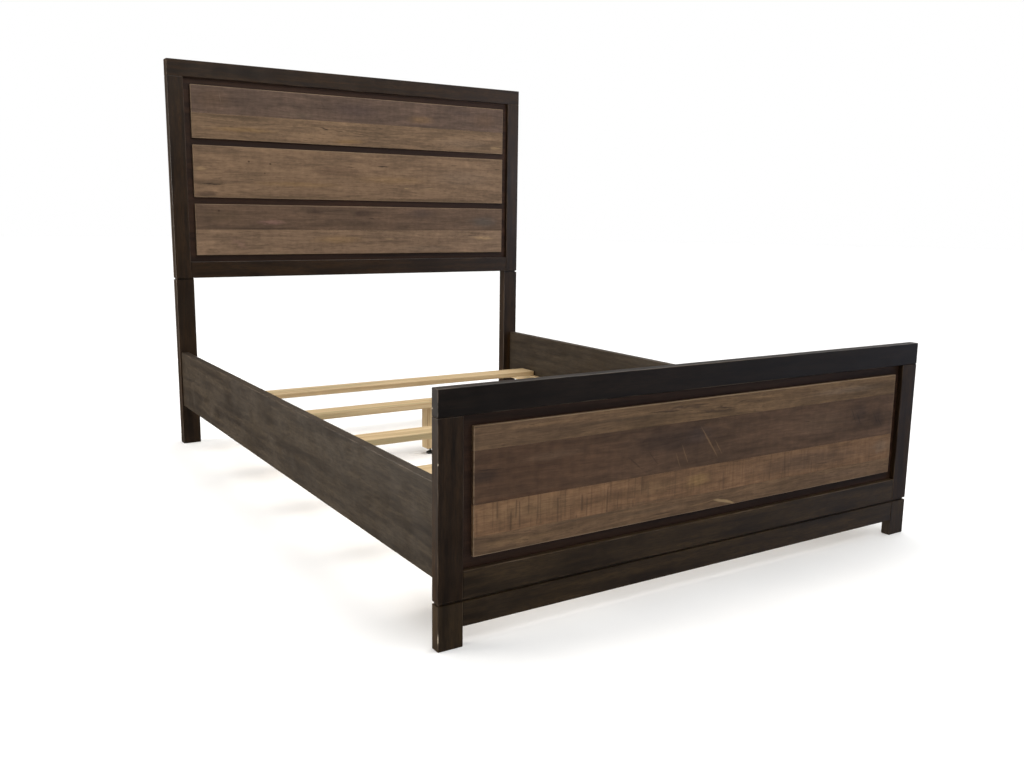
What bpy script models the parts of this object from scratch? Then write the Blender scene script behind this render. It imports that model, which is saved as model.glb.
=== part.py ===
"""Panelled wooden bed for a double mattress on a box spring.

X runs across the bed, Y from the footboard to the headboard and Z up. The origin is on the
floor under the middle of the bed. "Left" and "right" are as seen from the foot.
All sizes are in metres.
"""
import math

import bmesh
import bpy
from mathutils import Vector

FIT = 0.0003                    # air between two pieces that touch
OVERCUT = 0.001                 # how far a cutter starts outside the wood
EASE = 0.0015                   # eased edge of a finished board
HARDWARE_EASE = 0.0004          # broken edge of a steel plate
ROUND_STEPS = 24                # sides of a round piece

# Whole bed
BED_WIDTH = 1.473
BED_LENGTH = 2.065

# Footboard
FOOTBOARD_HEIGHT = 0.535
FOOTBOARD_THICKNESS = 0.026
FOOTBOARD_STILE = 0.0575
FOOTBOARD_TOP_RAIL = 0.057
FOOTBOARD_BOTTOM_RAIL = 0.059
FOOT_HEIGHT = 0.101
APRON_UNDERSIDE = 0.043
FOOTBOARD_BOARD_SHARES = (0.19, 0.41, 0.25, 0.15)    # of the panel's height, from the top

# Headboard
HEADBOARD_HEIGHT = 1.389
HEADBOARD_THICKNESS = 0.040
HEADBOARD_STILE = 0.055
HEADBOARD_TOP_RAIL = 0.0575
HEADBOARD_BOTTOM_RAIL = 0.059
HEADBOARD_LEG_HEIGHT = 0.618
HEADBOARD_LEG_LEDGE = 0.008     # leg wider than its stile, so the bottom rail rests on it
HEADBOARD_PLANKS = (            # boards glued up in each plank: shares of its height, from the top
    ("top", (0.52, 0.48)),
    ("middle", (1.0,)),
    ("bottom", (0.50, 0.50)),
)

# Panels inside their frames
REVEAL = 0.024                  # sunk border round each plank
REVEAL_DEPTH = 0.013            # backing face behind the frame's face
PLANK_SETBACK = 0.003           # plank face behind the frame's face
BACKING_THICKNESS = 0.006
BACKING_GROOVE = 0.008          # how deep the frame's groove for the backing is
BACKING_PLAY = 0.001            # room for the backing to swell in its groove

# Joinery
SHADOW_GROOVE_HEIGHT = 0.0055
SHADOW_GROOVE_DEPTH = 0.005
STILE_TENON_LENGTH = 0.030
RAIL_TENON_LENGTH = 0.025
APRON_TENON_LENGTH = 0.022
TENON_SHOULDER = 0.010
TENON_WALL = 0.003              # wood between a tenon and the backing's groove
TENON_ROOT = 0.005              # how far a tenon reaches back into its own board
TENON_END_PLAY = 0.001
DOWEL_RADIUS = 0.005
DOWEL_LENGTH = 0.060
DOWEL_EDGE = 0.016              # dowel axis from the outer side of its post

# Side rails
RAIL_UNDERSIDE = 0.145
RAIL_HEIGHT = 0.200
RAIL_THICKNESS = 0.025
RAIL_INSET = 0.006              # rail face in from the outer side of the posts
CLEAT_THICKNESS = 0.020
CLEAT_HEIGHT = 0.032
CLEAT_END_GAP = 0.040

# Hooked rail fittings
PLATE_HEIGHT = 0.150
PLATE_WIDTH = 0.016
PLATE_THICKNESS = 0.0025
HOOK_SPACING = 0.080
HOOK_THICKNESS = 0.003
HOOK_HEIGHT = 0.012
HOOK_DROP = 0.009               # how far the lip hangs behind the slotted plate
LIP_THICKNESS = 0.0025
LIP_GAP = 0.0005                # between the lip and the back of the slotted plate
LIP_STEP = 0.0002               # lip ground back from the hook's faces
SLOT_PLAY = 0.0004
POCKET_WIDTH = 0.008
POCKET_DEPTH = 0.011
POCKET_ROOM = 0.002             # round the hook's path

# Slats and their middle legs
SLAT_COUNT = 5
LEGGED_SLATS = (2, 3, 4)
SLAT_WIDTH = 0.089
SLAT_THICKNESS = 0.019
SLAT_END_PLAY = 0.003
SLAT_END_INSET = 0.160          # first slat's middle from the inside of each board
SUPPORT_LEG_WIDTH = 0.044
SUPPORT_LEG_CLEARANCE = 0.022   # floor to the underside of the leg's wood
LEG_BORE_DEPTH = 0.060
SCREW_RADIUS = 0.0025
SCREW_HEAD_RADIUS = 0.0045
SCREW_HEAD_HEIGHT = 0.003
SCREW_RIM = 0.0004              # straight edge of the head, above its cone
SCREW_LENGTH = 0.055
SCREW_SINK = 0.0005             # head below the top of the slat
TNUT_FLANGE_RADIUS = 0.011
TNUT_FLANGE_THICKNESS = 0.0015
TNUT_BARREL_RADIUS = 0.005
TNUT_BARREL_HEIGHT = 0.010
LEVELER_STEM_RADIUS = 0.0038
LEVELER_STEM_TOP = 0.062
LEVELER_COLLAR_RADIUS = 0.0065
LEVELER_COLLAR_TOP = 0.011
LEVELER_FOOT_RADIUS = 0.014
LEVELER_FOOT_HEIGHT = 0.007
LEVELER_ROUNDING = 0.0015
STEM_PLAY = 0.0003

# Planes that several pieces share
HALF_WIDTH = BED_WIDTH / 2
FOOT_FACE_Y = -BED_LENGTH / 2
FOOT_BACK_Y = FOOT_FACE_Y + FOOTBOARD_THICKNESS
HEAD_BACK_Y = BED_LENGTH / 2
HEAD_FACE_Y = HEAD_BACK_Y - HEADBOARD_THICKNESS
RAIL_OUTER_X = HALF_WIDTH - RAIL_INSET
RAIL_INNER_X = RAIL_OUTER_X - RAIL_THICKNESS
RAIL_MIDDLE_X = (RAIL_OUTER_X + RAIL_INNER_X) / 2
RAIL_MIDDLE_Z = RAIL_UNDERSIDE + RAIL_HEIGHT / 2
SLAT_UNDERSIDE = RAIL_UNDERSIDE + CLEAT_HEIGHT + FIT
SLAT_TOP = SLAT_UNDERSIDE + SLAT_THICKNESS

SIDES = (("left", -1), ("right", 1))
ENDS = (("foot", -1), ("head", 1))

FINISHES = {
    "frame_wood": ("332A24", 0.42, 0.0),
    "rail_wood": ("4A4237", 0.45, 0.0),
    "backing_wood": ("1F1917", 0.60, 0.0),
    "plank_dark": ("574537", 0.55, 0.0),
    "plank_light": ("745D44", 0.55, 0.0),
    "slat_wood": ("B89E78", 0.65, 0.0),
    "steel": ("8E8F92", 0.38, 1.0),
    "leveler_plastic": ("1C1C1D", 0.50, 0.0),
}


# ---------------------------------------------------------------- building blocks

def clear_scene():
    for old in list(bpy.data.objects):
        bpy.data.objects.remove(old, do_unlink=True)


def new_collection(name):
    collection = bpy.data.collections.new(name)
    bpy.context.scene.collection.children.link(collection)
    return collection


def linear(channel):
    if channel <= 0.04045:
        return channel / 12.92
    return ((channel + 0.055) / 1.055) ** 2.4


def finish_material(name, finish):
    colour, roughness, metallic = FINISHES[finish]
    material = bpy.data.materials.new(name + "_" + finish)
    material.use_nodes = True
    shader = material.node_tree.nodes["Principled BSDF"]
    rgb = [linear(int(colour[i:i + 2], 16) / 255) for i in (0, 2, 4)]
    shader.inputs["Base Color"].default_value = (*rgb, 1.0)
    shader.inputs["Roughness"].default_value = roughness
    shader.inputs["Metallic"].default_value = metallic
    return material


def put(name, mesh, location, finish=None):
    """Link a finished piece, or a cutter when it has no finish."""
    piece = bpy.data.objects.new(name, mesh)
    piece.location = location
    if finish is None:
        CUTTERS.objects.link(piece)
        piece.hide_render = True
        piece.display_type = "WIRE"
    else:
        BED.objects.link(piece)
        mesh.materials.append(finish_material(name, finish))
    return piece


def box(name, low, high, finish=None):
    low = Vector(low)
    high = Vector(high)
    shape = bmesh.new()
    bmesh.ops.create_cube(shape, size=1.0)
    bmesh.ops.scale(shape, vec=high - low, verts=shape.verts)
    mesh = bpy.data.meshes.new(name)
    shape.to_mesh(mesh)
    shape.free()
    return put(name, mesh, (low + high) / 2, finish)


def ease_edges(piece, width, segments=1):
    bevel = piece.modifiers.new("eased edges", "BEVEL")
    bevel.width = width
    bevel.segments = segments
    bevel.limit_method = "ANGLE"
    bevel.harden_normals = False


def board(name, low, high, finish, ease=EASE):
    piece = box(name, low, high, finish)
    ease_edges(piece, ease, segments=2)
    return piece


def boolean(piece, tool, operation):
    step = piece.modifiers.new(tool.name, "BOOLEAN")
    step.operation = operation
    step.solver = "EXACT"
    step.object = tool


def cut_box(piece, low, high):
    tool = box(f"cut_{piece.name}_{len(piece.modifiers)}", low, high)
    boolean(piece, tool, "DIFFERENCE")


def add_box(piece, low, high):
    tool = box(f"add_{piece.name}_{len(piece.modifiers)}", low, high)
    boolean(piece, tool, "UNION")


def grown(low, high, by):
    margin = Vector((by, by, by))
    return Vector(low) - margin, Vector(high) + margin


def turned(name, profile, location, finish=None, ring=False):
    """Spin (radius, height) points, listed down the outer side, about the piece's own Z axis."""
    shape = bmesh.new()
    points = [shape.verts.new((radius, 0, height)) for radius, height in profile]
    for start, end in zip(points, points[1:]):
        shape.edges.new((start, end))
    if ring:
        shape.edges.new((points[-1], points[0]))
    mesh = bpy.data.meshes.new(name)
    shape.to_mesh(mesh)
    shape.free()
    piece = put(name, mesh, location, finish)
    spin = piece.modifiers.new("spin", "SCREW")
    spin.angle = math.tau
    spin.steps = ROUND_STEPS
    spin.render_steps = ROUND_STEPS
    spin.use_merge_vertices = True
    spin.merge_threshold = 0.00001
    spin.use_smooth_shade = True
    return piece


def cut_bore(piece, x, y, low, high, radius):
    profile = [(0, high - low), (radius, high - low), (radius, 0), (0, 0)]
    tool = turned(f"bore_{piece.name}_{len(piece.modifiers)}", profile, (x, y, low))
    boolean(piece, tool, "DIFFERENCE")


def span(side, near, far):
    """Low and high of a stretch that lies on one side of the middle."""
    return min(side * near, side * far), max(side * near, side * far)


def middle_third(face_y, thickness):
    return face_y + thickness / 3, face_y + 2 * thickness / 3


# ---------------------------------------------------------------- framed panels

class Frame:
    """Sizes of one framed panel: stiles, a top rail over them, a bottom rail between them."""

    def __init__(self, name, face_y, thickness, bottom, top, stile, top_rail, bottom_rail):
        self.name = name
        self.face_y = face_y
        self.back_y = face_y + thickness
        self.tenon_y = middle_third(face_y, thickness)
        self.bottom = bottom
        self.top = top
        self.inner_x = HALF_WIDTH - stile
        self.opening_low = bottom + bottom_rail
        self.opening_high = top - top_rail
        backing_y = face_y + REVEAL_DEPTH
        self.backing_y = (backing_y, backing_y + BACKING_THICKNESS)
        self.groove_y = (backing_y - FIT, backing_y + BACKING_THICKNESS + FIT)
        self.groove_x = self.inner_x + BACKING_GROOVE
        self.groove_low = self.opening_low - BACKING_GROOVE
        self.groove_high = self.opening_high + BACKING_GROOVE


def top_rail(frame):
    """Runs the full width and sits over both stiles."""
    rail = board(frame.name + "_top_rail",
                 (-HALF_WIDTH, frame.face_y, frame.opening_high),
                 (HALF_WIDTH, frame.back_y, frame.top), "frame_wood")
    cut_box(rail,
            (-frame.groove_x, frame.groove_y[0], frame.opening_high - OVERCUT),
            (frame.groove_x, frame.groove_y[1], frame.groove_high))
    return rail


def bottom_rail(frame):
    """Butts between the stiles, with a tenon into each."""
    end_x = frame.inner_x - FIT
    rail = board(frame.name + "_bottom_rail",
                 (-end_x, frame.face_y, frame.bottom),
                 (end_x, frame.back_y, frame.opening_low), "frame_wood")
    cut_box(rail,
            (-HALF_WIDTH, frame.groove_y[0], frame.groove_low),
            (HALF_WIDTH, frame.groove_y[1], frame.opening_low + OVERCUT))
    return rail


def stile(frame, side_name, side, rail_above, rail_below):
    """An upright: tenoned up into the top rail, mortised for the bottom rail."""
    x_low, x_high = span(side, frame.inner_x, HALF_WIDTH)
    post = board(f"{frame.name}_stile_{side_name}",
                 (x_low, frame.face_y, frame.bottom),
                 (x_high, frame.back_y, frame.opening_high - FIT), "frame_wood")

    x_low, x_high = span(side, frame.inner_x - OVERCUT, frame.groove_x)
    cut_box(post,
            (x_low, frame.groove_y[0], frame.groove_low),
            (x_high, frame.groove_y[1], frame.opening_high + OVERCUT))

    x_low, x_high = span(side, frame.groove_x + TENON_WALL, HALF_WIDTH - TENON_SHOULDER)
    low = Vector((x_low, frame.tenon_y[0], frame.opening_high - TENON_ROOT))
    high = Vector((x_high, frame.tenon_y[1], frame.opening_high + STILE_TENON_LENGTH))
    add_box(post, low, high)
    low, high = grown(low, high, FIT)
    high.z += TENON_END_PLAY
    cut_box(rail_above, low, high)

    low_z = frame.bottom + TENON_SHOULDER
    high_z = frame.groove_low - TENON_WALL
    x_low, x_high = span(side, frame.inner_x - TENON_ROOT, frame.inner_x + RAIL_TENON_LENGTH)
    low = Vector((x_low, frame.tenon_y[0], low_z))
    high = Vector((x_high, frame.tenon_y[1], high_z))
    add_box(rail_below, low, high)
    low, high = grown(low, high, FIT)
    low.x -= TENON_END_PLAY
    high.x += TENON_END_PLAY
    cut_box(post, low, high)
    return post


def backing(frame):
    """Thin dark panel held in grooves on all four sides."""
    panel_x = frame.groove_x - BACKING_PLAY
    return board(frame.name + "_backing",
                 (-panel_x, frame.backing_y[0], frame.groove_low + BACKING_PLAY),
                 (panel_x, frame.backing_y[1], frame.groove_high - BACKING_PLAY),
                 "backing_wood", ease=HARDWARE_EASE)


def framed_panel(frame):
    above = top_rail(frame)
    below = bottom_rail(frame)
    posts = {name: stile(frame, name, side, above, below) for name, side in SIDES}
    backing(frame)
    return posts


def stacked_boards(frame, names, shares, low_z, high_z, finishes):
    """Glued-up boards, top one first, sharing the height between low_z and high_z."""
    x = frame.inner_x - REVEAL
    top = high_z
    for name, share, finish in zip(names, shares, finishes):
        bottom = top - share * (high_z - low_z)
        seam_above = FIT / 2 if top < high_z else 0
        seam_below = FIT / 2 if name != names[-1] else 0
        board(name,
              (-x, frame.face_y + PLANK_SETBACK, bottom + seam_below),
              (x, frame.backing_y[0] - FIT, top - seam_above), finish)
        top = bottom


def shadow_groove(piece, side, face_y, back_y, top):
    """Rebate round the front and outer side of a base piece, just under what stands on it."""
    low_z = top - SHADOW_GROOVE_HEIGHT
    high_z = top + OVERCUT
    front_low = (-HALF_WIDTH - OVERCUT, face_y - OVERCUT, low_z)
    cut_box(piece, front_low, (HALF_WIDTH + OVERCUT, face_y + SHADOW_GROOVE_DEPTH, high_z))
    if side:
        x_low, x_high = span(side, HALF_WIDTH - SHADOW_GROOVE_DEPTH, HALF_WIDTH + OVERCUT)
        cut_box(piece, (x_low, face_y - 2 * OVERCUT, low_z), (x_high, back_y + OVERCUT, high_z))


def dowel(name, side, lower, upper, joint_z, middle_y):
    """Pin that holds a post on its foot or leg."""
    x = side * (HALF_WIDTH - DOWEL_EDGE)
    half = DOWEL_LENGTH / 2
    chamfer = DOWEL_RADIUS / 4
    profile = [(0, half), (DOWEL_RADIUS - chamfer, half), (DOWEL_RADIUS, half - chamfer),
               (DOWEL_RADIUS, chamfer - half), (DOWEL_RADIUS - chamfer, -half), (0, -half)]
    turned(name, profile, (x, middle_y, joint_z), "slat_wood")
    reach = half + TENON_END_PLAY
    bore = DOWEL_RADIUS + FIT
    cut_bore(lower, x, middle_y, joint_z - reach, joint_z + OVERCUT, bore)
    cut_bore(upper, x, middle_y, joint_z - OVERCUT, joint_z + reach, bore)


# ---------------------------------------------------------------- footboard and headboard

def footboard():
    frame = Frame("footboard", FOOT_FACE_Y, FOOTBOARD_THICKNESS, FOOT_HEIGHT + FIT,
                  FOOTBOARD_HEIGHT, FOOTBOARD_STILE, FOOTBOARD_TOP_RAIL, FOOTBOARD_BOTTOM_RAIL)
    posts = framed_panel(frame)
    names = [f"footboard_board_{i + 1}" for i in range(len(FOOTBOARD_BOARD_SHARES))]
    finishes = ["plank_light", "plank_dark", "plank_light", "plank_light"]
    stacked_boards(frame, names, FOOTBOARD_BOARD_SHARES,
                   frame.opening_low + REVEAL, frame.opening_high - REVEAL, finishes)

    apron_x = frame.inner_x - FIT
    apron = board("footboard_apron",
                  (-apron_x, frame.face_y, APRON_UNDERSIDE),
                  (apron_x, frame.back_y, FOOT_HEIGHT), "frame_wood")
    shadow_groove(apron, 0, frame.face_y, frame.back_y, FOOT_HEIGHT)
    for side_name, side in SIDES:
        x_low, x_high = span(side, frame.inner_x, HALF_WIDTH)
        foot = board("footboard_foot_" + side_name,
                     (x_low, frame.face_y, 0), (x_high, frame.back_y, FOOT_HEIGHT), "frame_wood")
        shadow_groove(foot, side, frame.face_y, frame.back_y, FOOT_HEIGHT)
        x_low, x_high = span(side, frame.inner_x - TENON_ROOT, frame.inner_x + APRON_TENON_LENGTH)
        low = Vector((x_low, frame.tenon_y[0], APRON_UNDERSIDE + TENON_SHOULDER))
        high = Vector((x_high, frame.tenon_y[1],
                       FOOT_HEIGHT - SHADOW_GROOVE_HEIGHT - TENON_SHOULDER))
        add_box(apron, low, high)
        low, high = grown(low, high, FIT)
        low.x -= TENON_END_PLAY
        high.x += TENON_END_PLAY
        cut_box(foot, low, high)
        dowel("footboard_dowel_" + side_name, side, foot, posts[side_name],
              FOOT_HEIGHT, (frame.face_y + frame.back_y) / 2)
    return posts


def headboard():
    frame = Frame("headboard", HEAD_FACE_Y, HEADBOARD_THICKNESS, HEADBOARD_LEG_HEIGHT + FIT,
                  HEADBOARD_HEIGHT, HEADBOARD_STILE, HEADBOARD_TOP_RAIL, HEADBOARD_BOTTOM_RAIL)
    posts = framed_panel(frame)
    count = len(HEADBOARD_PLANKS)
    opening = frame.opening_high - frame.opening_low
    plank_height = (opening - (count + 1) * REVEAL) / count
    for row, (plank, shares) in enumerate(HEADBOARD_PLANKS):
        high_z = frame.opening_high - REVEAL - row * (plank_height + REVEAL)
        if len(shares) == 1:
            names, finishes = [f"headboard_{plank}_plank"], ["plank_light"]
        else:
            names = [f"headboard_{plank}_plank_{place}" for place in ("upper", "lower")]
            finishes = ["plank_dark", "plank_light"]
        stacked_boards(frame, names, shares, high_z - plank_height, high_z, finishes)

    legs = {}
    for side_name, side in SIDES:
        x_low, x_high = span(side, frame.inner_x - HEADBOARD_LEG_LEDGE, HALF_WIDTH)
        leg = board("headboard_leg_" + side_name,
                    (x_low, frame.face_y, 0),
                    (x_high, frame.back_y, HEADBOARD_LEG_HEIGHT), "frame_wood")
        shadow_groove(leg, side, frame.face_y, frame.back_y, HEADBOARD_LEG_HEIGHT)
        dowel("headboard_dowel_" + side_name, side, leg, posts[side_name],
              HEADBOARD_LEG_HEIGHT, (frame.face_y + frame.back_y) / 2)
        legs[side_name] = leg
    return legs


# ---------------------------------------------------------------- side rails and their fittings

def side_rail(side_name, side):
    x_low, x_high = span(side, RAIL_INNER_X, RAIL_OUTER_X)
    return board("side_rail_" + side_name,
                 (x_low, FOOT_BACK_Y + FIT, RAIL_UNDERSIDE),
                 (x_high, HEAD_FACE_Y - FIT, RAIL_UNDERSIDE + RAIL_HEIGHT), "rail_wood")


def slat_cleat(side_name, side):
    outer_x = RAIL_INNER_X - FIT
    x_low, x_high = span(side, outer_x - CLEAT_THICKNESS, outer_x)
    board("slat_cleat_" + side_name,
          (x_low, FOOT_BACK_Y + CLEAT_END_GAP, RAIL_UNDERSIDE),
          (x_high, HEAD_FACE_Y - CLEAT_END_GAP, RAIL_UNDERSIDE + CLEAT_HEIGHT), "slat_wood")


def hook_heights():
    """Middle height of each hook."""
    return [RAIL_MIDDLE_Z + offset for offset in (-HOOK_SPACING / 2, HOOK_SPACING / 2)]


def rail_fitting(side_name, side, end_name, end, rail, post):
    """Hooked plate let into the rail's end, slotted plate let into the post."""
    x = side * RAIL_MIDDLE_X
    post_face = FOOT_BACK_Y if end < 0 else HEAD_FACE_Y
    rail_end = post_face - end * FIT

    def block(make, piece, half_x, near, far, z_low, z_high):
        """Box on the rail's centre line, from near to far beyond the rail's end."""
        y_low = min(rail_end + end * near, rail_end + end * far)
        y_high = max(rail_end + end * near, rail_end + end * far)
        return make(piece, (x - half_x, y_low, z_low), (x + half_x, y_high, z_high))

    def steel_plate(name, low, high):
        plate = box(name, low, high, "steel")
        ease_edges(plate, HARDWARE_EASE)
        return plate

    half_plate = PLATE_WIDTH / 2
    z_low = RAIL_MIDDLE_Z - PLATE_HEIGHT / 2
    z_high = RAIL_MIDDLE_Z + PLATE_HEIGHT / 2
    plate_back = FIT + PLATE_THICKNESS
    hooked = block(steel_plate, f"rail_hook_{side_name}_{end_name}", half_plate,
                   -PLATE_THICKNESS, 0, z_low, z_high)
    slotted = block(steel_plate, f"post_plate_{side_name}_{end_name}", half_plate,
                    FIT, plate_back, z_low, z_high)
    block(cut_box, rail, half_plate + FIT, -PLATE_THICKNESS - FIT, OVERCUT,
          z_low - FIT, z_high + FIT)
    block(cut_box, post, half_plate + FIT, FIT - OVERCUT, plate_back + FIT,
          z_low - FIT, z_high + FIT)

    lip_near = plate_back + LIP_GAP
    tip = lip_near + LIP_THICKNESS
    half_hook = HOOK_THICKNESS / 2
    for z in hook_heights():
        hook_low = z - HOOK_HEIGHT / 2
        hook_high = z + HOOK_HEIGHT / 2
        lip_low = hook_low - HOOK_DROP
        slot_high = hook_high + HOOK_DROP + OVERCUT
        block(add_box, hooked, half_hook, -PLATE_THICKNESS / 2, tip, hook_low, hook_high)
        block(add_box, hooked, half_hook - LIP_STEP, lip_near, tip - LIP_STEP,
              lip_low, hook_low + OVERCUT)
        block(cut_box, slotted, half_hook + SLOT_PLAY, FIT - OVERCUT, plate_back + OVERCUT,
              hook_low - FIT, slot_high)
        block(cut_box, post, POCKET_WIDTH / 2, FIT - OVERCUT / 2, POCKET_DEPTH,
              lip_low - POCKET_ROOM, slot_high + POCKET_ROOM)


def side_rails(foot_posts, head_posts):
    posts = {"foot": foot_posts, "head": head_posts}
    for side_name, side in SIDES:
        rail = side_rail(side_name, side)
        slat_cleat(side_name, side)
        for end_name, end in ENDS:
            rail_fitting(side_name, side, end_name, end, rail, posts[end_name][side_name])


# ---------------------------------------------------------------- slats and middle legs

def slat_middle_y(number):
    first = FOOT_BACK_Y + SLAT_END_INSET
    last = HEAD_FACE_Y - SLAT_END_INSET
    return first + (number - 1) * (last - first) / (SLAT_COUNT - 1)


def screw_profile(grow):
    """Countersunk wood screw, down from the middle of its head, made larger by grow."""
    neck = SCREW_RADIUS + grow
    head = SCREW_HEAD_RADIUS + grow
    return [(0, grow), (head, grow), (head, -SCREW_RIM), (neck, -SCREW_HEAD_HEIGHT),
            (neck, 2 * SCREW_RADIUS - SCREW_LENGTH), (0, -SCREW_LENGTH - grow)]


def leg_screw(number, y, slat, leg):
    """Holds the leg under its slat."""
    head_z = SLAT_TOP - SCREW_SINK
    turned(f"support_screw_{number}", screw_profile(0), (0, y, head_z), "steel")
    for piece in (slat, leg):
        tool = turned(f"bore_{piece.name}_screw", screw_profile(FIT), (0, y, head_z))
        boolean(piece, tool, "DIFFERENCE")
    cut_bore(slat, 0, y, head_z, SLAT_TOP + OVERCUT, SCREW_HEAD_RADIUS + FIT)


def threaded_insert(number, y):
    """Flanged nut in the underside of the leg; the leveler's stem runs in it."""
    bore = LEVELER_STEM_RADIUS + STEM_PLAY
    flange_top = SUPPORT_LEG_CLEARANCE - FIT
    flange_bottom = flange_top - TNUT_FLANGE_THICKNESS
    barrel_top = flange_top + TNUT_BARREL_HEIGHT
    profile = [(bore, barrel_top), (TNUT_BARREL_RADIUS, barrel_top),
               (TNUT_BARREL_RADIUS, flange_top), (TNUT_FLANGE_RADIUS, flange_top),
               (TNUT_FLANGE_RADIUS, flange_bottom), (bore, flange_bottom)]
    turned(f"threaded_insert_{number}", profile, (0, y, 0), "steel", ring=True)


def leveler(number, y):
    """Screw-in foot under the middle leg."""
    profile = [(0, LEVELER_STEM_TOP),
               (LEVELER_STEM_RADIUS - LEVELER_ROUNDING / 2, LEVELER_STEM_TOP),
               (LEVELER_STEM_RADIUS, LEVELER_STEM_TOP - LEVELER_ROUNDING / 2),
               (LEVELER_STEM_RADIUS, LEVELER_COLLAR_TOP),
               (LEVELER_COLLAR_RADIUS, LEVELER_COLLAR_TOP),
               (LEVELER_COLLAR_RADIUS, LEVELER_FOOT_HEIGHT),
               (LEVELER_FOOT_RADIUS - LEVELER_ROUNDING, LEVELER_FOOT_HEIGHT),
               (LEVELER_FOOT_RADIUS, LEVELER_FOOT_HEIGHT - LEVELER_ROUNDING),
               (LEVELER_FOOT_RADIUS, LEVELER_ROUNDING),
               (LEVELER_FOOT_RADIUS - LEVELER_ROUNDING, 0),
               (0, 0)]
    turned(f"leveler_{number}", profile, (0, y, 0), "leveler_plastic")


def support_leg(number, y, slat):
    half = SUPPORT_LEG_WIDTH / 2
    leg = board(f"support_leg_{number}",
                (-half, y - half, SUPPORT_LEG_CLEARANCE),
                (half, y + half, SLAT_UNDERSIDE - FIT), "slat_wood")
    cut_bore(leg, 0, y, SUPPORT_LEG_CLEARANCE - OVERCUT,
             SUPPORT_LEG_CLEARANCE + LEG_BORE_DEPTH, TNUT_BARREL_RADIUS + FIT)
    leg_screw(number, y, slat, leg)
    threaded_insert(number, y)
    leveler(number, y)


def slats():
    end_x = RAIL_INNER_X - SLAT_END_PLAY
    for number in range(1, SLAT_COUNT + 1):
        y = slat_middle_y(number)
        slat = board(f"slat_{number}",
                     (-end_x, y - SLAT_WIDTH / 2, SLAT_UNDERSIDE),
                     (end_x, y + SLAT_WIDTH / 2, SLAT_TOP), "slat_wood")
        if number in LEGGED_SLATS:
            support_leg(number, y, slat)


clear_scene()
BED = new_collection("wooden_bed_frame")
CUTTERS = new_collection("cutters")
side_rails(footboard(), headboard())
slats()
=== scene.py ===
"""Looks of the panelled wooden bed: finishes, sawn boards, hardware and a studio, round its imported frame.

X runs across the bed, Y from the footboard to the headboard and Z up, in metres. "Left" and "right" are
as seen from the foot. The timber is maple: the frame under a near-black espresso stain and a satin lacquer,
the panels of rustic boards with their saw marks, mineral streaks and knots left in, and the deck bare.
"""
import math
import random

import bmesh
import bpy
from mathutils import Matrix, Vector, noise

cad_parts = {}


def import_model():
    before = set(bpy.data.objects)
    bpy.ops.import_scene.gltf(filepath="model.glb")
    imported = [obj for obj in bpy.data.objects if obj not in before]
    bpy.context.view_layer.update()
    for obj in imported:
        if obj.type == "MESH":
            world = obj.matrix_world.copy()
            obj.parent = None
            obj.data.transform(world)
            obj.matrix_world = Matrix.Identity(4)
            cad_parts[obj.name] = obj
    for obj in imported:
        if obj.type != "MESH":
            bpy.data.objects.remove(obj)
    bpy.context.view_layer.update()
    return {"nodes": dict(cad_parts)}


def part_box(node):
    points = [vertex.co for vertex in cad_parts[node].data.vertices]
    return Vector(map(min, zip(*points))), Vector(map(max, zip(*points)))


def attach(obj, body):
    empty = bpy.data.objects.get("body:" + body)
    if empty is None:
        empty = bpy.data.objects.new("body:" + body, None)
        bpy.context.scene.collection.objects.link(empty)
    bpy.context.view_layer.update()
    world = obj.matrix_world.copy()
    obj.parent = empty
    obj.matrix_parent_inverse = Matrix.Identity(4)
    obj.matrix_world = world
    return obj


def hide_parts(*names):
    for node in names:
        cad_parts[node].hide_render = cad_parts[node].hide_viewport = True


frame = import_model()

MM = 0.001
X, Y, Z = 0, 1, 2                       # which way a board's grain runs
SIDES = (("left", -1), ("right", 1))
PANEL_REACH = 1.0                       # radius, in metres, of a mark that goes right through a thin board
LEGGED_SLATS = (2, 3, 4)


# ---------------------------------------------------------------- nodes and colours

def linear(hex_colour):
    """sRGB hex to the linear colour that a socket takes."""
    channels = [int(hex_colour[i:i + 2], 16) / 255 for i in (0, 2, 4)]
    return (*[c / 12.92 if c <= 0.04045 else ((c + 0.055) / 1.055) ** 2.4 for c in channels], 1.0)


def socket(sockets, key):
    """The socket in use with that name, or at that place among those in use."""
    used = [one for one in sockets if one.enabled]
    return used[key] if isinstance(key, int) else next(one for one in used if one.name == key)


def add(tree, kind, inputs=None, out=0, **settings):
    """Adds a shader node, its inputs each a value or the output that feeds it. Gives one of its outputs."""
    node = tree.nodes.new("ShaderNode" + kind)
    for setting, value in settings.items():
        setattr(node, setting, value)
    for key, value in (inputs or {}).items():
        target = socket(node.inputs, key)
        if isinstance(value, bpy.types.NodeSocket):
            tree.links.new(value, target)
        else:
            target.default_value = value
    return socket(node.outputs, out) if node.outputs else None


def new_finish(name):
    """An empty material, its node tree and where a point of the piece lies."""
    material = bpy.data.materials.new(name)
    material.use_nodes = True
    tree = material.node_tree
    tree.nodes.clear()
    return material, tree, add(tree, "TexCoord", out="Object")


def close_finish(tree, colour, wear, smooth, rough, height, depth, **shader_values):
    """Shader and output: roughness goes from smooth to rough with wear, the bump is depth metres deep."""
    roughness = add(tree, "MapRange", {"Value": wear, "From Min": 0.3, "From Max": 0.7,
                                       "To Min": smooth, "To Max": rough})
    normal = add(tree, "Bump", {"Height": height, "Distance": depth, "Strength": 1.0})
    values = {name.replace("_", " "): value for name, value in shader_values.items()}
    values.update({"Base Color": colour, "Roughness": roughness, "Normal": normal})
    shader = add(tree, "BsdfPrincipled", values)
    add(tree, "OutputMaterial", {"Surface": shader})


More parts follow.
